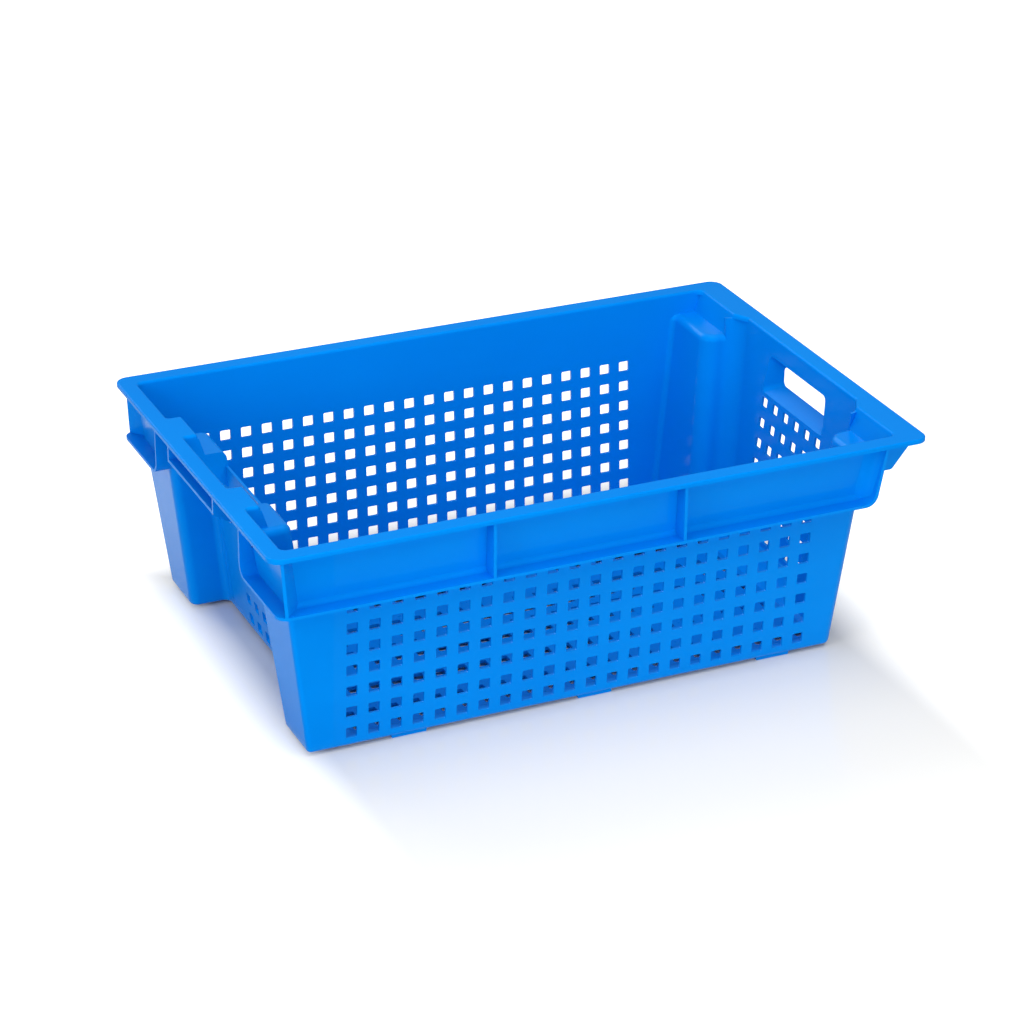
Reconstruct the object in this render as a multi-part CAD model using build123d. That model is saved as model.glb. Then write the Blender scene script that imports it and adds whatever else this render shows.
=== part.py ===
from build123d import *
import math
import os

# Stack and nest crate, in millimetres.
# Origin: centre of the footprint on the floor. +X runs along the length, +Y to the back, +Z up.
# The left end carries two corner posts with a recess between them, and the right end a middle bay
# with a recess at each corner. Turned half round, the posts of an upper crate stand on the right
# corner seats of a lower one. The same way round, the crates nest.
# The crate is symmetric about the plane Y = 0, so most sections are made at the front and mirrored.

# Overall sizes
LENGTH = 604.0
WIDTH = 400.0
HEIGHT = 200.0

# Sheet thicknesses
WALL = 2.5
FLOOR = 3.0
RIM_THICK = 4.0
BAND_THICK = 2.6

# Feet, three under each long wall
FOOT_HEIGHT = 3.0
FOOT_LENGTH = 31.0
FOOT_DEPTH = 14.0
FOOT_END_SLOPE = 1.5
FOOT_EDGE_GAP = 3.0
FOOT_INSET = 57.0

# Walls: how far the rim reaches past each wall at the top, and each wall's draft in mm per mm
SIDE_OVERHANG = 15.0
SIDE_DRAFT = 0.056
POST_OVERHANG = 13.4
POST_DRAFT = 0.125
BAY_OVERHANG = 15.0
BAY_DRAFT = 0.125
SEAT_SETBACK = 49.0
SEAT_DRAFT = 0.12

# Posts at the left end and corner recesses at the right end, measured along Y at the base
POST_WIDTH = 58.0
POST_INNER_DRAFT = 0.07
CORNER_WIDTH = 81.0
BAY_SIDE_DRAFT = 0.145

# Vertical edge radii on the outside, and the radius where the walls turn into the floor
POST_CORNER_RADIUS = 4.5
POST_EDGE_RADIUS = 8.0
RECESS_CORNER_RADIUS = 6.0
SIDE_END_RADIUS = 8.0
NOTCH_CORNER_RADIUS = 12.0
BAY_EDGE_RADIUS = 20.0
BASE_RADIUS = 4.0
TRAY_DEPTH = 7.0

# Square ventilation holes
HOLE = 10.0
HOLE_RADIUS = 1.2
HOLE_PITCH = 20.0
FIRST_ROW = 13.0
LEFT_HOLE_MARGIN = 38.4
RIGHT_HOLE_MARGIN = 30.0
END_HOLE_COLUMNS = 6
RECESS_HOLE_ROWS = 2
FLOOR_HOLE_MARGIN = 14.0

# Rim
RIM_CORNER_RADIUS = 12.0
RIM_EDGE_RADIUS = 1.4
RIM_OPENING_EDGE_RADIUS = 2.6
RIM_SHOULDER = 10.0
RIM_INNER_RADIUS = 6.0
RIM_JOG_RADIUS = 3.0

# Stacking seats: a ledge below the rim with a riser up to it, and how far each riser's foot and top
# stand in from the end of the rim
SEAT_DROP = 20.0
SEAT_BLOCK_DEPTH = 12.0
SEAT_EDGE_RADIUS = 7.0
SEAT_EDGE_GAP = 0.1
LEFT_RISER_FOOT = 35.0
LEFT_RISER_TOP = 28.5
RIGHT_RISER_FOOT = 33.0
RIGHT_RISER_TOP = 25.0
RIGHT_GUSSET_FOOT = 27.0
RIGHT_GUSSET_TOP = 6.0
RIGHT_GUSSET_RADIUS = 4.0
TAB_LENGTH = 44.0

# Left handle: a channel bar under the rim, over a hand space that is open above and below
HAND_HALF_LENGTH = 55.5
HAND_WALL_DROP = 34.0
HANDLE_SETBACK = 2.0
HANDLE_DROP = 21.3
HANDLE_LIP = 2.8
GUSSET_DROP = 54.0

# Right hand hole: a funnel through the bay wall to the collar's outer plane
HAND_HOLE_HALF = 41.0
HAND_HOLE_TOP_DROP = 26.0
HAND_HOLE_BOTTOM_DROP = 45.0
HAND_HOLE_RADIUS = 5.0
FUNNEL_SIDE_FLARE = 13.0
FUNNEL_TOP_FLARE = 10.0
FUNNEL_BOTTOM_FLARE = 8.0
FUNNEL_LENGTH = 11.5

# Collar below the rim: a bent band with ribs
COLLAR_DROP = 53.5
COLLAR_SIDE_SETBACK = 1.0
LEFT_COLLAR_SETBACK = 6.5
RIGHT_COLLAR_SETBACK = 10.5
COLLAR_BEND_RADIUS = 12.0
COLLAR_CORNER_RADIUS = 11.0
COLLAR_END_OFFSET = 3.5
COLLAR_END_DRAFT = 0.19
COLLAR_END_FILLET = 12.0
COLLAR_END_HOLLOW = 16.0
LEDGE_FILLET = 4.0
LEDGE_HOLLOW = 5.5
COLLAR_RIB_HALF_SPACING = 87.3
COLLAR_RIB_SHIFT = 18.9
COLLAR_RIB_SETBACK = 0.5
CORNER_RIB_SETBACK = 9.0
CORNER_RIB_ANGLE = 49.0
CORNER_RIB_LENGTH = 30.0
CORNER_RIB_LEAN = 4.0
LEFT_PLATE_OVERHANG = 1.0
RIGHT_PLATE_INSET = 10.0

# Places of the cuts between the crate's sections
POST_CUT = 22.0
POST_CUT_DEPTH = 25.0
COLUMN_CUT = 12.0
RECESS_CUT = 18.0
BAY_CUT = 21.0
SEAT_CUT = 10.0
SEAT_CUT_WIDTH = 22.0
FAR = 2000.0

BASE_Z = FOOT_HEIGHT
TRAY_Z = BASE_Z + TRAY_DEPTH
RIM_Z = HEIGHT - RIM_THICK
SEAT_Z = HEIGHT - SEAT_DROP
SEAT_UNDER_Z = SEAT_Z - WALL
SEAT_BLOCK_Z = SEAT_Z - SEAT_BLOCK_DEPTH
COLLAR_Z = HEIGHT - COLLAR_DROP
HANDLE_Z = HEIGHT - HANDLE_DROP


def side_y(z):
    """Outer face of the long walls."""
    return WIDTH / 2 - SIDE_OVERHANG - SIDE_DRAFT * (HEIGHT - z)


def post_x(z):
    """Outer end face of the left posts."""
    return LENGTH / 2 - POST_OVERHANG - POST_DRAFT * (HEIGHT - z)


def bay_x(z):
    """Outer end face of the right bay."""
    return LENGTH / 2 - BAY_OVERHANG - BAY_DRAFT * (HEIGHT - z)


def seat_x(z):
    """Outer face of the set-back walls: the left recess and the right corner recesses."""
    return LENGTH / 2 - SEAT_SETBACK - SEAT_DRAFT * (HEIGHT - z)


def recess_y(z):
    """Recess side of the left posts."""
    return side_y(BASE_Z) - POST_WIDTH - POST_INNER_DRAFT * (z - BASE_Z)


def bay_y(z):
    """Outer side face of the right bay."""
    return side_y(BASE_Z) - CORNER_WIDTH + BAY_SIDE_DRAFT * (z - BASE_Z)


def riser_x(foot, top, z):
    """Inner face of a riser between its foot on the seat and its top on the rim."""
    return LENGTH / 2 - foot + (foot - top) * (z - SEAT_Z) / SEAT_DROP


def slab(x0, x1, y0, y1, z0, z1):
    """A box between two corners."""
    centre = ((x0 + x1) / 2, (y0 + y1) / 2, (z0 + z1) / 2)
    return Pos(*centre) * Box(abs(x1 - x0), abs(y1 - y0), abs(z1 - z0))


def prism_y(points, y0, y1):
    """A polygon of (x, z) points, drawn from y0 to y1."""
    face = make_face(Polyline(*[(x, y0, z) for x, z in points], close=True))
    return extrude(face, amount=y1 - y0, dir=(0, 1, 0))


def rounded_face(corners, place):
    """A face with (u, v, radius) corners, where place turns u and v into a point."""
    points = [place(u, v) for u, v, radius in corners]
    return make_face(FilletPolyline(*points, radius=[c[2] for c in corners], close=True))


def rectangle(u0, u1, v0, v1, radius):
    return [(u0, v0, radius), (u1, v0, radius), (u1, v1, radius), (u0, v1, radius)]


def plan(z, inset):
    """The crate's plan outline at a height, moved inwards by an inset."""
    side = side_y(z) - inset
    post = post_x(z) - inset
    bay = bay_x(z) - inset
    seat = seat_x(z) - inset
    recess = recess_y(z) + inset
    bay_side = bay_y(z) - inset
    front = [
        (-seat, -recess, RECESS_CORNER_RADIUS + inset),
        (-post, -recess, POST_EDGE_RADIUS - inset),
        (-post, -side, POST_CORNER_RADIUS - inset),
        (seat, -side, SIDE_END_RADIUS - inset),
        (seat, -bay_side, NOTCH_CORNER_RADIUS + inset),
        (bay, -bay_side, BAY_EDGE_RADIUS - inset),
    ]
    back = [(x, -y, radius) for x, y, radius in reversed(front)]
    return rounded_face(front + back, lambda x, y: (x, y, z))


def hull_plan(z, inset):
    """The plan outline without the left recess and the right corner recesses."""
    side = side_y(z) - inset
    left = -(post_x(z) - inset)
    right = bay_x(z) - inset
    corners = rectangle(left, right, -side, side, POST_CORNER_RADIUS - inset)
    return rounded_face(corners, lambda x, y: (x, y, z))


def tapered(outline, z0, z1, inset):
    return loft([outline(z0, inset), outline(z1, inset)], ruled=True)


def floor_rounded(solid, radius):
    return fillet(solid.edges().group_by(Axis.Z)[0], radius)


OUTER = floor_rounded(tapered(plan, BASE_Z, RIM_Z, 0.0), BASE_RADIUS)
INNER = floor_rounded(tapered(plan, BASE_Z + FLOOR, HEIGHT, WALL), BASE_RADIUS - WALL)
SHELL = OUTER - INNER
HULL = tapered(hull_plan, BASE_Z, RIM_Z, 0.0)
HULL_INNER = tapered(hull_plan, BASE_Z, HEIGHT, WALL)
HULL_SHELL = HULL - HULL_INNER

TAB_OUT = HAND_HALF_LENGTH + TAB_LENGTH
HAND_WALL_Z = HEIGHT - HAND_WALL_DROP
SIDE_CUT_X = post_x(BASE_Z) - POST_CUT
COLUMN_CUT_X = seat_x(BASE_Z) - COLUMN_CUT
RECESS_CUT_Y = recess_y(BASE_Z) - RECESS_CUT
BAY_CUT_Y = bay_y(BASE_Z) - BAY_CUT
POST_CUT_Y = side_y(BASE_Z) - POST_CUT_DEPTH
SEAT_CUT_X = seat_x(SEAT_BLOCK_Z) - SEAT_CUT
LEFT_SEAT_Y = recess_y(SEAT_BLOCK_Z) + SEAT_CUT_WIDTH
RIGHT_SEAT_Y = bay_y(SEAT_BLOCK_Z) - SEAT_CUT_WIDTH
LEFT_RISER_X = LENGTH / 2 - LEFT_RISER_FOOT
RIGHT_RISER_X = LENGTH / 2 - RIGHT_RISER_FOOT
COLLAR_Y = WIDTH / 2 - COLLAR_SIDE_SETBACK
LEFT_COLLAR_X = LENGTH / 2 - LEFT_COLLAR_SETBACK
RIGHT_COLLAR_X = LENGTH / 2 - RIGHT_COLLAR_SETBACK


def wall_sheet(corners):
    """A flat piece in line with the front wall, from (x, z, radius) corners."""
    return extrude(rounded_face(corners, lambda x, z: (x, -side_y(z), z)), amount=WALL, dir=(0, 1, 0))


def perforated(outline, across, up, place, thickness, direction):
    """A flat sheet with (u, v, radius) corners and a square hole at every (across, up) place."""
    half = HOLE / 2
    squares = [rectangle(u - half, u + half, v - half, v + half, HOLE_RADIUS) for u in across for v in up]
    holes = [rounded_face(square, place).wire() for square in squares]
    sheet = Face(rounded_face(outline, place).wire(), holes)
    return extrude(sheet, amount=thickness, dir=direction)


def hole_rows(top):
    first = BASE_Z + FIRST_ROW
    count = int((top - HOLE / 2 - first) / HOLE_PITCH) + 1
    return [first + HOLE_PITCH * i for i in range(count)]


def centred(count):
    return [HOLE_PITCH * (i - (count - 1) / 2) for i in range(count)]


SIDE_ROWS = hole_rows(COLLAR_Z - BAND_THICK)
FLOOR_COLUMNS = int(2 * (seat_x(BASE_Z) - FLOOR_HOLE_MARGIN - HOLE / 2) / HOLE_PITCH) + 1
FLOOR_ROWS = int(2 * (side_y(BASE_Z) - FLOOR_HOLE_MARGIN - HOLE / 2) / HOLE_PITCH) + 1
GRID_X = HOLE_PITCH * FLOOR_COLUMNS / 2
GRID_Y = HOLE_PITCH * FLOOR_ROWS / 2


def back_of(solid):
    return mirror(solid, about=Plane.XZ)


def base_grid():
    """The perforated middle of the floor."""
    outline = rectangle(-GRID_X, GRID_X, -GRID_Y, GRID_Y, 0.0)
    across = centred(FLOOR_COLUMNS)
    up = centred(FLOOR_ROWS)
    return perforated(outline, across, up, lambda x, y: (x, y, BASE_Z), FLOOR, (0, 0, 1))


def base_tray():
    """The floor's edge, turned up into the walls."""
    tray = SHELL & slab(-FAR, FAR, -FAR, FAR, 0, TRAY_Z)
    return tray - slab(-GRID_X, GRID_X, -GRID_Y, GRID_Y, 0, TRAY_Z)


def base_feet():
    top = BASE_Z + BASE_RADIUS
    half = FOOT_LENGTH / 2
    edge = -(side_y(BASE_Z) - FOOT_EDGE_GAP)
    spacing = seat_x(BASE_Z) - FOOT_INSET
    feet = []
    for x in (-spacing, 0.0, spacing):
        wide = half + FOOT_END_SLOPE
        points = [(x - half, 0), (x + half, 0), (x + wide, top), (x - wide, top)]
        foot = prism_y(points, edge, edge + FOOT_DEPTH) - OUTER
        feet += [foot, back_of(foot)]
    return Compound(children=feet)


def front_wall():
    outline = rectangle(-SIDE_CUT_X, COLUMN_CUT_X, TRAY_Z, RIM_Z, 0.0)
    first = -post_x(BASE_Z) + LEFT_HOLE_MARGIN
    last = seat_x(BASE_Z) - RIGHT_HOLE_MARGIN
    columns = [first + HOLE_PITCH * i for i in range(int((last - first) / HOLE_PITCH) + 1)]
    return perforated(outline, columns, SIDE_ROWS, lambda x, z: (x, -side_y(z), z), WALL, (0, 1, 0))


def left_seat_zone(z0, z1):
    return slab(-FAR, -SEAT_CUT_X, -LEFT_SEAT_Y, -HAND_HALF_LENGTH, z0, z1)


def front_left_post():
    zone = slab(-FAR, 0, -FAR, -RECESS_CUT_Y, TRAY_Z, RIM_Z)
    wall_zone = slab(-SIDE_CUT_X, 0, -FAR, -POST_CUT_Y, TRAY_Z, RIM_Z)
    return (SHELL & zone) - wall_zone - left_seat_zone(SEAT_BLOCK_Z, RIM_Z)


def left_recess_wall():
    outline = rectangle(-RECESS_CUT_Y, RECESS_CUT_Y, TRAY_Z, SEAT_BLOCK_Z, 0.0)
    columns = centred(END_HOLE_COLUMNS)
    rows = SIDE_ROWS[:RECESS_HOLE_ROWS]
    sheet = perforated(outline, columns, rows, lambda y, z: (-seat_x(z), y, z), WALL, (1, 0, 0))
    return sheet - slab(-FAR, 0, -HAND_HALF_LENGTH, HAND_HALF_LENGTH, HAND_WALL_Z, SEAT_BLOCK_Z)


def seat_block(zone, outside):
    """A block that fills the zone up to the seat, with rounded edges towards the inside."""
    block = zone - INNER
    top = block.faces().sort_by(Axis.Z)[-1]
    inside = [edge for edge in top.edges() if not outside(edge.center())]
    return fillet(inside, SEAT_EDGE_RADIUS) & HULL


def left_front_seat():
    block = seat_block(
        left_seat_zone(SEAT_BLOCK_Z, SEAT_Z),
        lambda c: c.X < -LENGTH / 2 or c.Y < -LEFT_SEAT_Y + SEAT_EDGE_GAP,
    )
    plate_y = -(HAND_HALF_LENGTH + WALL)
    under = slab(-FAR, 0, -LEFT_SEAT_Y, plate_y, 0, SEAT_UNDER_Z) - OUTER
    tab_space = slab(-FAR, -(LEFT_RISER_X + WALL), -(TAB_OUT - WALL), plate_y, 0, SEAT_Z)
    low = -riser_x(LEFT_RISER_FOOT, LEFT_RISER_TOP, SEAT_Z)
    high = -riser_x(LEFT_RISER_FOOT, LEFT_RISER_TOP, RIM_Z)
    inner_low = -(post_x(SEAT_Z) - WALL)
    inner_high = -(post_x(RIM_Z) - WALL)
    tab = [(low, SEAT_Z), (high, RIM_Z), (inner_high, RIM_Z), (inner_low, SEAT_Z)]
    riser = prism_y(tab, -TAB_OUT, -HAND_HALF_LENGTH)
    hollow = [(low - WALL, SEAT_Z), (high - WALL, RIM_Z), (-FAR, RIM_Z), (-FAR, SEAT_Z)]
    riser = riser - prism_y(hollow, -(TAB_OUT - WALL), plate_y)
    end_wall = HULL_SHELL & slab(-FAR, 0, -LEFT_SEAT_Y, -(TAB_OUT - WALL), SEAT_BLOCK_Z, RIM_Z)
    edge = -(LENGTH / 2 - HANDLE_SETBACK)
    foot_z = HEIGHT - GUSSET_DROP
    gusset_points = [
        (edge, HANDLE_Z),
        (-seat_x(foot_z), foot_z),
        (-seat_x(SEAT_BLOCK_Z), SEAT_BLOCK_Z),
        (low, SEAT_BLOCK_Z),
        (low, SEAT_Z),
        (high, RIM_Z),
        (edge, RIM_Z),
    ]
    gusset = prism_y(gusset_points, plate_y, -HAND_HALF_LENGTH)
    return (block - under - tab_space) + riser + (end_wall - under) + gusset


def left_handle_bar():
    inner = -(post_x(HEIGHT) - WALL)
    edge = -(LENGTH / 2 - HANDLE_SETBACK)
    half = HAND_HALF_LENGTH
    web = slab(inner - WALL, inner, -half, half, HANDLE_Z, RIM_Z)
    lip = slab(edge, inner, -half, half, HANDLE_Z, HANDLE_Z + HANDLE_LIP)
    return web + lip


def right_seat_zone(x1, z0, z1):
    return slab(SEAT_CUT_X, x1, -FAR, -RIGHT_SEAT_Y, z0, z1)


def front_right_column():
    zone = slab(COLUMN_CUT_X, FAR, -FAR, -BAY_CUT_Y, TRAY_Z, RIM_Z)
    return (SHELL & zone) - right_seat_zone(RIGHT_RISER_X, SEAT_BLOCK_Z, RIM_Z)


def front_right_seat():
    outer_foot = RIGHT_RISER_X + WALL
    block = seat_block(
        right_seat_zone(outer_foot, SEAT_BLOCK_Z, SEAT_Z),
        lambda c: c.X > outer_foot - SEAT_EDGE_GAP or c.X < SEAT_CUT_X + SEAT_EDGE_GAP or c.Y < -WIDTH / 2,
    )
    under = slab(0, FAR, -FAR, -RIGHT_SEAT_Y, 0, SEAT_UNDER_Z) - OUTER
    low = riser_x(RIGHT_RISER_FOOT, RIGHT_RISER_TOP, SEAT_Z)
    high = riser_x(RIGHT_RISER_FOOT, RIGHT_RISER_TOP, RIM_Z)
    sheet = [(low, SEAT_Z), (low + WALL, SEAT_Z), (high + WALL, RIM_Z), (high, RIM_Z)]
    riser = (prism_y(sheet, -FAR, -RIGHT_SEAT_Y) & HULL) - OUTER
    gusset = wall_sheet([
        (SEAT_CUT_X, SEAT_BLOCK_Z, 0.0),
        (LENGTH / 2 - RIGHT_GUSSET_FOOT, SEAT_BLOCK_Z, RIGHT_GUSSET_RADIUS),
        (LENGTH / 2 - RIGHT_GUSSET_TOP, RIM_Z, 0.0),
        (SEAT_CUT_X, RIM_Z, 0.0),
    ])
    return ((block + riser) - under + gusset) - front_right_column()


def hand_funnel(margin):
    """The hand hole's funnel, grown by a margin and run on past its inner end."""
    z0 = HEIGHT - HAND_HOLE_BOTTOM_DROP
    z1 = HEIGHT - HAND_HOLE_TOP_DROP
    radius = HAND_HOLE_RADIUS + margin
    sections = []
    for reach in (0.0, 2.0):
        half = HAND_HOLE_HALF + FUNNEL_SIDE_FLARE * reach + margin
        low = z0 - FUNNEL_BOTTOM_FLARE * reach - margin
        high = z1 + FUNNEL_TOP_FLARE * reach + margin
        x = RIGHT_COLLAR_X - FUNNEL_LENGTH * reach
        sections.append(rounded_face(rectangle(-half, half, low, high, radius), lambda y, z: (x, y, z)))
    return loft(sections, ruled=True)


def right_bay_wall():
    outline = rectangle(-BAY_CUT_Y, BAY_CUT_Y, TRAY_Z, RIM_Z, 0.0)
    columns = centred(END_HOLE_COLUMNS)
    sheet = perforated(outline, columns, SIDE_ROWS, lambda y, z: (bay_x(z), y, z), WALL, (-1, 0, 0))
    return sheet - hand_funnel(WALL)


def right_hand_hole_frame():
    return hand_funnel(WALL) - hand_funnel(0.0) - INNER


def rim_opening(z):
    side = side_y(z) - WALL
    left = -(post_x(z) - WALL)
    right = bay_x(z) - WALL
    tab = -riser_x(LEFT_RISER_FOOT, LEFT_RISER_TOP, z)
    riser = riser_x(RIGHT_RISER_FOOT, RIGHT_RISER_TOP, z)
    inside = BAY_EDGE_RADIUS - WALL
    middle = bay_y(z) - BAY_EDGE_RADIUS
    jog = middle + math.sqrt(inside ** 2 - (inside - right + riser) ** 2)
    front = [
        (left, -HAND_HALF_LENGTH, RIM_JOG_RADIUS),
        (tab, -HAND_HALF_LENGTH, RIM_JOG_RADIUS),
        (tab, -TAB_OUT, RIM_JOG_RADIUS),
        (left, -TAB_OUT, RIM_JOG_RADIUS),
        (left, -side, RIM_INNER_RADIUS),
        (riser, -side, RIM_INNER_RADIUS),
        (riser, -jog, RIM_JOG_RADIUS),
        (right, -middle, RIM_JOG_RADIUS),
    ]
    back = [(x, -y, radius) for x, y, radius in reversed(front)]
    return rounded_face(front + back, lambda x, y: (x, y, z))


def whole_rim():
    """The flat flange round the top, with its outer edge and the edge of its opening rounded."""
    plate = extrude(RectangleRounded(LENGTH, WIDTH, RIM_CORNER_RADIUS), amount=RIM_THICK)
    plate = fillet(plate.edges().group_by(Axis.Z)[-1], RIM_EDGE_RADIUS)
    ring = Pos(0, 0, RIM_Z) * plate - loft([rim_opening(RIM_Z), rim_opening(HEIGHT)], ruled=True)
    edges = ring.edges().group_by(Axis.Z)[-1]
    for axis, size in ((Axis.X, LENGTH), (Axis.Y, WIDTH)):
        reach = size / 2 - RIM_SHOULDER
        edges = edges.filter_by_position(axis, -reach, reach)
    return fillet(edges, RIM_OPENING_EDGE_RADIUS)


def rim_sections():
    rim = whole_rim()
    left = -(post_x(RIM_Z) - POST_CUT)
    right = RIGHT_RISER_X - POST_CUT
    left_half = rim & slab(-FAR, left, -FAR, 0, 0, HEIGHT)
    right_half = rim & slab(right, FAR, -FAR, 0, 0, HEIGHT)
    side = rim & slab(left, right, -FAR, 0, 0, HEIGHT)
    return {
        "rim_left": left_half + back_of(left_half),
        "rim_right": right_half + back_of(right_half),
        "rim_front": side,
        "rim_back": back_of(side),
    }


def band_between(outline, direction, amount):
    """A strip between an outline and the same outline moved in by the band's thickness."""
    strips = [extrude(outline(inset), amount=amount, dir=direction) for inset in (0.0, BAND_THICK)]
    return strips[0] - strips[1]


def collar_end_x(z):
    """Inner face of the collar's right end plate."""
    return seat_x(COLLAR_Z) + COLLAR_END_OFFSET + COLLAR_END_DRAFT * (z - COLLAR_Z)


def collar_end_fillet():
    """The hollow rounding between the long wall and the collar's right end plate."""
    sections = []
    for z in (COLLAR_Z - BAND_THICK / 2, RIM_Z):
        plate = collar_end_x(z)
        wall = -side_y(z)
        along = (plate - COLLAR_END_FILLET, wall, z)
        out = (plate, wall - COLLAR_END_FILLET, z)
        plate_side = (plate + BAND_THICK / 2, wall - COLLAR_END_FILLET, z)
        corner = (plate + BAND_THICK / 2, wall + WALL / 2, z)
        wall_side = (plate - COLLAR_END_FILLET, wall + WALL / 2, z)
        hollow = RadiusArc(along, out, COLLAR_END_HOLLOW)
        sections.append(make_face([hollow, Polyline(out, plate_side, corner, wall_side, along)]))
    return loft(sections, ruled=True)


def ledge_fillet():
    """The hollow rounding between the long wall and the collar's ledge."""
    left = -post_x(COLLAR_Z) + POST_CORNER_RADIUS
    top = COLLAR_Z + LEDGE_FILLET
    inside = COLLAR_Z - BAND_THICK / 2
    behind = -side_y(COLLAR_Z) + WALL / 2
    up = (-side_y(top), top)
    out = (-side_y(COLLAR_Z) - LEDGE_FILLET, COLLAR_Z)
    hollow = RadiusArc(up, out, LEDGE_HOLLOW)
    rest = Polyline(out, (out[0], inside), (behind, inside), (behind, top), up)
    section = Pos(left, 0, 0) * (Plane.YZ * make_face([hollow, rest]))
    return extrude(section, amount=collar_end_x(COLLAR_Z) - left, dir=(1, 0, 0))


def front_collar():
    """The ledge along the long wall, bent up into an end plate at the right."""
    left = -post_x(COLLAR_Z)
    bottom = COLLAR_Z - BAND_THICK
    depth = COLLAR_Y - side_y(COLLAR_Z) + WALL

    def outline(inset):
        corners = [
            (left, bottom + inset, 0.0),
            (collar_end_x(bottom) + BAND_THICK - inset, bottom + inset, COLLAR_BEND_RADIUS - inset),
            (collar_end_x(RIM_Z) + BAND_THICK - inset, RIM_Z, 0.0),
            (left, RIM_Z, 0.0),
        ]
        return rounded_face(corners, lambda x, z: (x, -COLLAR_Y, z))

    backing = wall_sheet(rectangle(COLUMN_CUT_X, LENGTH / 2, bottom, SEAT_BLOCK_Z, 0.0))
    end = (collar_end_fillet() + backing) & extrude(outline(0.0), amount=depth, dir=(0, 1, 0))
    strip = band_between(outline, (0, 1, 0), depth) & collar_envelope()
    over_seat = HULL & slab(-FAR, FAR, -FAR, FAR, SEAT_BLOCK_Z, HEIGHT)
    return (strip + end + ledge_fillet()) - OUTER - HULL_INNER - over_seat


def collar_envelope():
    """What the collar stays inside: its left corners are round in plan."""
    corners = [
        (-LEFT_COLLAR_X, -COLLAR_Y, COLLAR_CORNER_RADIUS),
        (RIGHT_COLLAR_X, -COLLAR_Y, 0.0),
        (RIGHT_COLLAR_X, COLLAR_Y, 0.0),
        (-LEFT_COLLAR_X, COLLAR_Y, COLLAR_CORNER_RADIUS),
    ]
    return extrude(rounded_face(corners, lambda x, y: (x, y, 0.0)), amount=HEIGHT)


def left_front_collar():
    """The ledge at a left post, bent up into an end plate beside the recess."""
    rib = recess_y(COLLAR_Z) - LEFT_PLATE_OVERHANG

    def outline(inset):
        floor = COLLAR_Z - BAND_THICK + inset
        corners = [
            (-rib - inset, RIM_Z, 0.0),
            (-rib - inset, floor, COLLAR_BEND_RADIUS - inset),
            (-COLLAR_Y, floor, 0.0),
            (-COLLAR_Y, RIM_Z, 0.0),
        ]
        return rounded_face(corners, lambda y, z: (-LEFT_COLLAR_X, y, z))

    strip = band_between(outline, (1, 0, 0), LEFT_COLLAR_X - post_x(COLLAR_Z) + POST_EDGE_RADIUS)
    side_part = slab(-post_x(COLLAR_Z), 0, -FAR, -(side_y(COLLAR_Z) - WALL), 0, HEIGHT)
    low = -post_x(SEAT_BLOCK_Z)
    high = -post_x(RIM_Z)
    seat_part = prism_y([(low, SEAT_BLOCK_Z), (high, RIM_Z), (0, RIM_Z), (0, SEAT_BLOCK_Z)], -LEFT_SEAT_Y, 0)
    return (strip & collar_envelope()) - side_part - OUTER - seat_part


def front_left_corner_rib():
    """A diagonal rib from the post's corner out to the collar's round corner, leaning out towards the rim."""
    sections = []
    for z, lean in ((COLLAR_Z, CORNER_RIB_LEAN), (RIM_Z, 0.0)):
        edge = Pos(lean - LENGTH / 2 + CORNER_RIB_SETBACK, -COLLAR_Y, z)
        turned = edge * Rot(0, 0, CORNER_RIB_ANGLE) * Pos(CORNER_RIB_LENGTH / 2, 0)
        sections.append(turned * Rectangle(CORNER_RIB_LENGTH, BAND_THICK))
    return (loft(sections, ruled=True) & collar_envelope()) - HULL - ledge_fillet()


def front_collar_ribs():
    ribs = []
    for x in (-COLLAR_RIB_SHIFT - COLLAR_RIB_HALF_SPACING, -COLLAR_RIB_SHIFT + COLLAR_RIB_HALF_SPACING):
        half = BAND_THICK / 2
        plate = slab(x - half, x + half, -(COLLAR_Y - COLLAR_RIB_SETBACK), -POST_CUT_Y, COLLAR_Z, RIM_Z)
        ribs.append(plate - HULL - ledge_fillet())
    return Compound(ribs)


def right_collar():
    """The ledge round the bay's end face, bent up into a plate at each side."""
    rib = bay_y(COLLAR_Z) - RIGHT_PLATE_INSET

    def outline(inset):
        floor = COLLAR_Z - BAND_THICK + inset
        radius = COLLAR_BEND_RADIUS - inset
        half = rib - inset
        corners = [(-half, RIM_Z, 0.0), (-half, floor, radius), (half, floor, radius), (half, RIM_Z, 0.0)]
        return rounded_face(corners, lambda y, z: (RIGHT_COLLAR_X, y, z))

    strip = band_between(outline, (-1, 0, 0), RIGHT_COLLAR_X - seat_x(COLLAR_Z))
    return strip - OUTER - hand_funnel(WALL)


front = {
    "front_wall": front_wall(),
    "front_left_post": front_left_post(),
    "left_front_seat": left_front_seat(),
    "front_right_column": front_right_column(),
    "front_right_seat": front_right_seat(),
    "front_collar": front_collar(),
    "left_front_collar": left_front_collar(),
    "front_left_corner_rib": front_left_corner_rib(),
    "front_collar_ribs": front_collar_ribs(),
}
nodes = {
    "base_grid": base_grid(),
    "base_tray": base_tray(),
    "base_feet": base_feet(),
    "left_recess_wall": left_recess_wall(),
    "left_handle_bar": left_handle_bar(),
    "right_bay_wall": right_bay_wall(),
    "right_hand_hole_frame": right_hand_hole_frame(),
    "right_collar": right_collar(),
}
nodes.update(rim_sections())
for name, solid in front.items():
    nodes[name] = solid
    nodes[name.replace("front", "back")] = back_of(solid)

os.makedirs("parts", exist_ok=True)
for name, solid in nodes.items():
    export_step(solid, f"parts/{name}.step")
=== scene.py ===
import math
import bpy
from mathutils import Matrix, Vector


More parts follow.
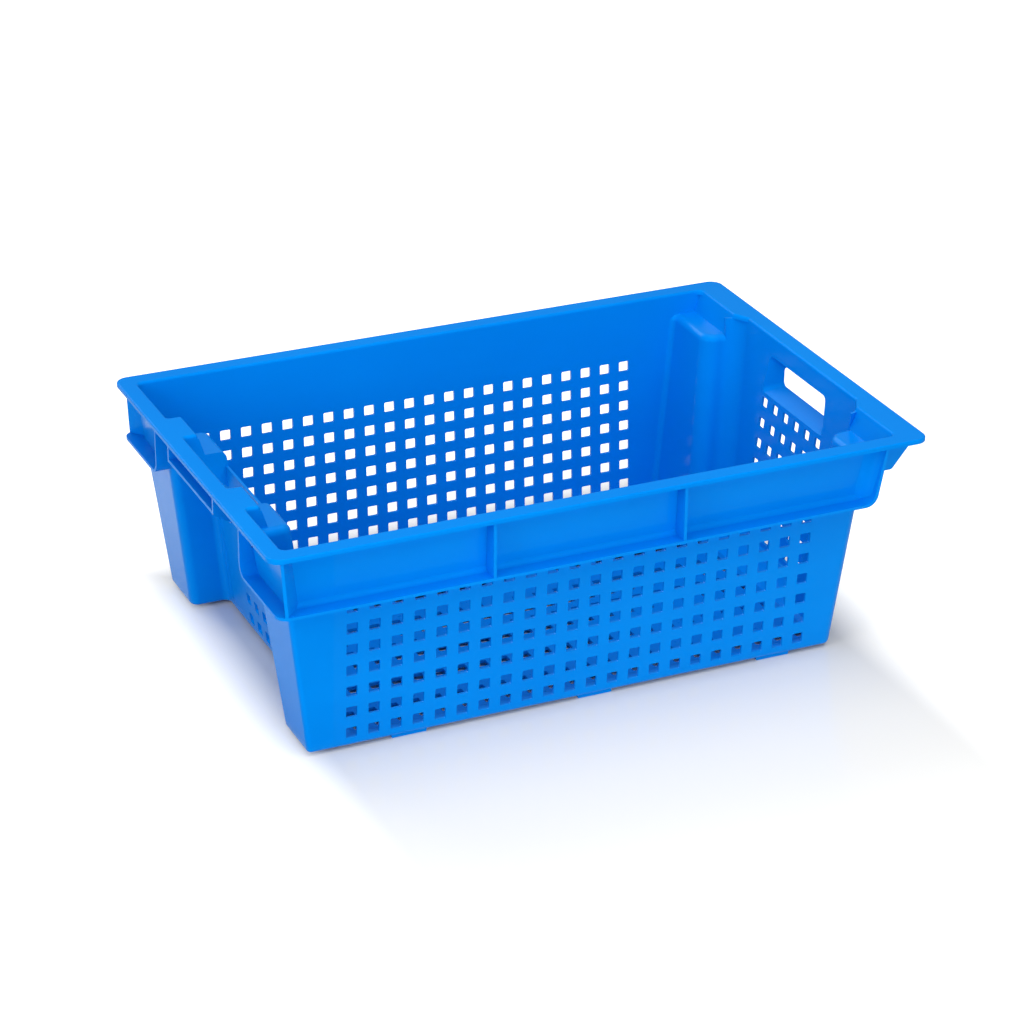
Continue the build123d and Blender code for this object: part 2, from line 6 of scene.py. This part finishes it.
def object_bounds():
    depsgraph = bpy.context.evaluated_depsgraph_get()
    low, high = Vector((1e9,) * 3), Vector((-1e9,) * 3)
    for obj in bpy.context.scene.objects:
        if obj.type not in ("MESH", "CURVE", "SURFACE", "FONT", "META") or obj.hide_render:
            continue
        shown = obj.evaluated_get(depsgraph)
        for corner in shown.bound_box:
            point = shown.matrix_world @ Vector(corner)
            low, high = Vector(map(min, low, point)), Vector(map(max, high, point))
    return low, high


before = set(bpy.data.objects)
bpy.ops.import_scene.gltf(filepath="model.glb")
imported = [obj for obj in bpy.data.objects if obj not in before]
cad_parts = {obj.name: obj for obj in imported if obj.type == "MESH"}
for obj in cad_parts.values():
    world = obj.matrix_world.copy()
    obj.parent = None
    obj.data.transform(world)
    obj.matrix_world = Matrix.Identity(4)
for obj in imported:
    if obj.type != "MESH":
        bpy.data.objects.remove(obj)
cad_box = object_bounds()

# Camera, placed by the grid of wall holes: metres, degrees, and millimetres for the lens
CAMERA_PLACE = Vector((-1.0975, -2.4233, 1.3759))
CAMERA_YAW = 24.33
CAMERA_PITCH = 25.644
CAMERA_ROLL = 0.389
CAMERA_LENS = 116.87
CAMERA_SENSOR = 36.0

# Colours are linear
BLUE = (0.0001, 0.215, 0.74)
BLUE_LIGHT = (0.0002, 0.240, 0.79)
# The base's blues are darker than the shell's: painted shade, for the dim floor inside the crate
BASE_PAINTED_SHADE_BLUE = (0.0001, 0.160, 0.60)
BASE_PAINTED_SHADE_BLUE_LIGHT = (0.0002, 0.185, 0.66)
SCUFF = (0.002, 0.30, 0.84)
GLOSS_TINT = (0.0, 0.42, 1.0)
FLOOR_WHITE = (0.78, 0.775, 0.75)
WORLD_COLOUR = (0.97, 0.98, 1.0)

# Patterns in the plastic: noise cells per metre, fineness, and stretch along X, Y and Z
FLOW = {"scale": 5.0, "detail": 3.0, "stretch": (1.0, 1.0, 2.5)}
RUBBED = {"scale": 38.0, "detail": 6.0, "stretch": (0.35, 1.0, 1.0)}
SKIN = {"scale": 160.0, "detail": 4.0}
WAVES = {"scale": 16.0, "detail": 1.0}
GRAIN = {"scale": 1400.0, "detail": 2.0}
NOISE_LOW = 0.3
NOISE_HIGH = 0.7
RUBBED_LOW = 0.56
RUBBED_HIGH = 0.80
ROUGHNESS_DROP = 0.03
ROUGHNESS_RISE = 0.04
WAVE_STRENGTH = 0.14
WAVE_DEPTH = 0.0008
GRAIN_STRENGTH = 0.03
GRAIN_DEPTH = 0.0001
PLASTIC_IOR = 1.5

# How rough, glossy and scuffed the plastic is in different parts of the crate
PLASTICS = {
    "shell_plastic": {"roughness": 0.15, "specular": 0.25, "scuffs": 0.05},
    "rim_plastic": {"roughness": 0.15, "specular": 0.06, "scuffs": 0.05},
    "front_post_plastic": {"roughness": 0.15, "specular": 0.04, "scuffs": 0.05},
    "back_post_plastic": {"roughness": 0.15, "specular": 0.10, "scuffs": 0.05},
    "seat_plastic": {"roughness": 0.22, "specular": 0.30, "scuffs": 0.15},
    "recess_plastic": {"roughness": 0.32, "specular": 0.12, "scuffs": 0.05},
    # The base plastic is painted a darker blue as shade, with its own roughness and real scuffs
    "base_painted_shade_plastic": {
        "roughness": 0.30,
        "specular": 0.15,
        "scuffs": 0.15,
        "deep": BASE_PAINTED_SHADE_BLUE,
        "light": BASE_PAINTED_SHADE_BLUE_LIGHT,
    },
}
RECESS_NODES = (
    "left_recess_wall",
    "left_front_collar",
    "left_back_collar",
    "left_handle_bar",
    "right_hand_hole_frame",
)

# Studio, in metres and watts. The floor glows for the camera, a painted brightening into the background
# away from the crate that paints out its real shadow there: at once beside and behind it, and slowly in
# front, where a distance counts only by the front reach.
FLOOR_SIZE = 12.0
FLOOR_ROUGHNESS = 0.15
FLOOR_LIFT = 0.90
FLOOR_LIFT_WIDTH = 0.06
FLOOR_MIRROR_LIFT = 0.15
FLOOR_SHADE_INSET = 0.06
FLOOR_FRONT_REACH = 0.06
FLOOR_BACK_START = 0.17
FLOOR_BACK_END = 0.22
WORLD_STRENGTH = 0.24
LIGHT_TARGET = (0.0, 0.0, 0.1)
LIGHTS = {
    "front_light": {"place": (-0.4, -3.2, 0.9), "size": 2.0, "power": 47.0},
    "high_front_light": {"place": (0.1, -1.3, 2.5), "size": 2.4, "power": 28.0},
    "top_light": {"place": (0.2, -0.2, 2.8), "size": 2.6, "power": 32.0},
    "left_light": {"place": (-3.0, -1.0, 1.3), "size": 1.8, "power": 44.0},
    "back_light": {"place": (-0.8, 2.6, 2.0), "size": 2.0, "power": 28.0},
}

# Places of the colour sockets on a mix node
MIX_FIRST = 6
MIX_SECOND = 7
MIX_RESULT = 2


def add(tree, kind, **inputs):
    """A shader node with its input sockets set by name."""
    node = tree.nodes.new(kind)
    for name, value in inputs.items():
        node.inputs[name.replace("_", " ")].default_value = value
    return node


def object_place(tree):
    """The coordinates of a point on the object itself."""
    return tree.nodes.new("ShaderNodeTexCoord").outputs["Object"]


def noise(tree, place, scale, detail, stretch=(1.0, 1.0, 1.0)):
    """A noise pattern over the object's own coordinates, stretched along its axes."""
    mapping = add(tree, "ShaderNodeMapping", Scale=stretch)
    texture = add(tree, "ShaderNodeTexNoise", Scale=scale, Detail=detail)
    tree.links.new(place, mapping.inputs["Vector"])
    tree.links.new(mapping.outputs["Vector"], texture.inputs["Vector"])
    return texture.outputs["Fac"]


def remap(tree, value, low, high, new_low, new_high):
    """A value between low and high, moved to a new range and held inside it."""
    ends = {"From_Min": low, "From_Max": high, "To_Min": new_low, "To_Max": new_high}
    node = add(tree, "ShaderNodeMapRange", **ends)
    tree.links.new(value, node.inputs["Value"])
    return node.outputs["Result"]


def combine(tree, operation, first, second):
    """Two values joined by a maths operation."""
    node = tree.nodes.new("ShaderNodeMath")
    node.operation = operation
    tree.links.new(first, node.inputs[0])
    tree.links.new(second, node.inputs[1])
    return node.outputs["Value"]


def mix_colour(tree, factor, first, second):
    """A blend of two colours, each either written out or from another node."""
    node = tree.nodes.new("ShaderNodeMix")
    node.data_type = "RGBA"
    tree.links.new(factor, node.inputs["Factor"])
    for place, colour in ((MIX_FIRST, first), (MIX_SECOND, second)):
        if isinstance(colour, tuple):
            node.inputs[place].default_value = (*colour, 1.0)
        else:
            tree.links.new(colour, node.inputs[place])
    return node.outputs[MIX_RESULT]


def bump(tree, height, strength, distance, normal=None):
    """A surface normal tilted by a height pattern, on top of another normal if there is one."""
    node = add(tree, "ShaderNodeBump", Strength=strength, Distance=distance)
    tree.links.new(height, node.inputs["Height"])
    if normal is not None:
        tree.links.new(normal, node.inputs["Normal"])
    return node.outputs["Normal"]


def moulded_plastic(name, roughness, specular, scuffs, deep=BLUE, light=BLUE_LIGHT):
    """Glossy moulded polyethylene: faint flow streaks, a fine skin, slow waves and rubbed patches."""
    material = bpy.data.materials.new(name)
    material.use_nodes = True
    tree = material.node_tree
    shader = tree.nodes["Principled BSDF"]
    place = object_place(tree)

    streaks = remap(tree, noise(tree, place, **FLOW), NOISE_LOW, NOISE_HIGH, 0.0, 1.0)
    patches = remap(tree, noise(tree, place, **RUBBED), RUBBED_LOW, RUBBED_HIGH, 0.0, scuffs)
    colour = mix_colour(tree, patches, mix_colour(tree, streaks, deep, light), SCUFF)
    tree.links.new(colour, shader.inputs["Base Color"])

    smoothest = roughness - ROUGHNESS_DROP
    roughest = roughness + ROUGHNESS_RISE
    uneven = remap(tree, noise(tree, place, **SKIN), NOISE_LOW, NOISE_HIGH, smoothest, roughest)
    tree.links.new(uneven, shader.inputs["Roughness"])

    slow = bump(tree, noise(tree, place, **WAVES), WAVE_STRENGTH, WAVE_DEPTH)
    fine = bump(tree, noise(tree, place, **GRAIN), GRAIN_STRENGTH, GRAIN_DEPTH, slow)
    tree.links.new(fine, shader.inputs["Normal"])
    shader.inputs["IOR"].default_value = PLASTIC_IOR
    shader.inputs["Specular IOR Level"].default_value = specular
    shader.inputs["Specular Tint"].default_value = (*GLOSS_TINT, 1.0)
    return material


def away_from_box(tree, place, half_sizes, front_reach):
    """Distance of a place from a box around the origin, with the front and back counted less."""
    distance = place
    steps = (
        ("ABSOLUTE", None),
        ("SUBTRACT", half_sizes),
        ("MAXIMUM", (0.0, 0.0, 0.0)),
        ("MULTIPLY", (1.0, front_reach, 0.0)),
    )
    for operation, second in steps:
        node = tree.nodes.new("ShaderNodeVectorMath")
        node.operation = operation
        tree.links.new(distance, node.inputs[0])
        if second:
            node.inputs[1].default_value = second
        distance = node.outputs["Vector"]
    length = tree.nodes.new("ShaderNodeVectorMath")
    length.operation = "LENGTH"
    tree.links.new(distance, length.inputs[0])
    return length.outputs["Value"]


def floor_painted_glow(tree):
    """How much painted glow brightens the floor: nothing under the crate, and fully away from it and
    behind it, where it paints out the crate's shadow.
    """
    place = object_place(tree)
    far_corner = cad_box[1]
    footprint = (far_corner[0] - FLOOR_SHADE_INSET, far_corner[1] - FLOOR_SHADE_INSET, 0.0)
    away = away_from_box(tree, place, footprint, FLOOR_FRONT_REACH)
    around = remap(tree, away, 0.0, FLOOR_LIFT_WIDTH, 0.0, FLOOR_LIFT)
    axes = tree.nodes.new("ShaderNodeSeparateXYZ")
    tree.links.new(place, axes.inputs["Vector"])
    behind = remap(tree, axes.outputs["Y"], FLOOR_BACK_START, FLOOR_BACK_END, 0.0, FLOOR_LIFT)
    return combine(tree, "MAXIMUM", around, behind)


def floor_seen(tree):
    """How much of the brightening is seen: all of it directly, some in reflections, none as light."""
    path = tree.nodes.new("ShaderNodeLightPath")
    mirrored = remap(tree, path.outputs["Is Glossy Ray"], 0.0, 1.0, 0.0, FLOOR_MIRROR_LIFT)
    return combine(tree, "MAXIMUM", path.outputs["Is Camera Ray"], mirrored)


def floor_material():
    """A white table with a painted glow for the camera: it keeps the crate's shadow beside and in front
    of it, shortens it behind, and turns into a white background.
    """
    material = bpy.data.materials.new("studio_floor")
    material.use_nodes = True
    tree = material.node_tree
    shader = tree.nodes["Principled BSDF"]
    shader.inputs["Roughness"].default_value = FLOOR_ROUGHNESS
    shader.inputs["Base Color"].default_value = (*FLOOR_WHITE, 1.0)
    shader.inputs["Emission Color"].default_value = (*FLOOR_WHITE, 1.0)
    # Painted glow: emission that is zero near the crate and grows away from it
    strength = combine(tree, "MULTIPLY", floor_seen(tree), floor_painted_glow(tree))
    tree.links.new(strength, shader.inputs["Emission Strength"])
    return material


def add_floor():
    """A flat square floor under the crate."""
    half = FLOOR_SIZE / 2
    mesh = bpy.data.meshes.new("studio_floor")
    corners = [(-half, -half, 0.0), (half, -half, 0.0), (half, half, 0.0), (-half, half, 0.0)]
    mesh.from_pydata(corners, [], [(0, 1, 2, 3)])
    mesh.materials.append(floor_material())
    floor = bpy.data.objects.new("studio_floor", mesh)
    bpy.context.scene.collection.objects.link(floor)


def add_light(name, place, size, power):
    """A square soft light that looks at the crate."""
    light = bpy.data.lights.new(name, "AREA")
    light.size = size
    light.energy = power
    lamp = bpy.data.objects.new(name, light)
    lamp.location = place
    direction = Vector(LIGHT_TARGET) - Vector(place)
    lamp.rotation_euler = direction.to_track_quat("-Z", "Y").to_euler()
    bpy.context.scene.collection.objects.link(lamp)


def add_world():
    """An even, dim light from all round."""
    world = bpy.data.worlds.new("studio")
    bpy.context.scene.world = world
    world.use_nodes = True
    background = world.node_tree.nodes["Background"]
    background.inputs["Color"].default_value = (*WORLD_COLOUR, 1.0)
    background.inputs["Strength"].default_value = WORLD_STRENGTH


def camera_turn():
    """The camera's directions to the right, up and back, from its yaw, pitch and roll."""
    yaw = math.radians(CAMERA_YAW)
    pitch = math.radians(CAMERA_PITCH)
    roll = math.radians(CAMERA_ROLL)
    level_reach = math.cos(pitch)
    forward = Vector((math.sin(yaw) * level_reach, math.cos(yaw) * level_reach, -math.sin(pitch)))
    level = Vector((math.cos(yaw), -math.sin(yaw), 0.0))
    upright = level.cross(forward)
    right = level * math.cos(roll) + upright * math.sin(roll)
    up = right.cross(forward)
    return Matrix((right, up, -forward)).transposed().to_4x4()


def add_camera():
    """A camera at the photograph's viewing angle."""
    data = bpy.data.cameras.new("photo_camera")
    data.lens = CAMERA_LENS
    data.sensor_width = CAMERA_SENSOR
    camera = bpy.data.objects.new("photo_camera", data)
    camera.matrix_world = Matrix.Translation(CAMERA_PLACE) @ camera_turn()
    bpy.context.scene.collection.objects.link(camera)
    bpy.context.scene.camera = camera


def dress(names, material):
    """Give the named nodes a material in place of the one they have."""
    for name in names:
        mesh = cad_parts[name].data
        mesh.materials.clear()
        mesh.materials.append(material)


def dress_crate():
    """The shell's plastic on every node, and then the rim, posts, seats, recess and base in their own;
    the base's is a darker blue, painted shade.
    """
    plastics = {name: moulded_plastic(name, **settings) for name, settings in PLASTICS.items()}
    nodes = list(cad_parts)
    dress(nodes, plastics["shell_plastic"])
    dress([name for name in nodes if name.startswith("rim")], plastics["rim_plastic"])
    dress(["front_left_post"], plastics["front_post_plastic"])
    dress(["back_left_post"], plastics["back_post_plastic"])
    dress([name for name in nodes if name.endswith("seat")], plastics["seat_plastic"])
    dress(RECESS_NODES, plastics["recess_plastic"])
    # The base gets the darker blue of painted shade
    dress(["base_grid"], plastics["base_painted_shade_plastic"])


dress_crate()
add_floor()
add_world()
for light_name, settings in LIGHTS.items():
    add_light(light_name, **settings)
add_camera()
bpy.context.scene.view_settings.view_transform = "Standard"
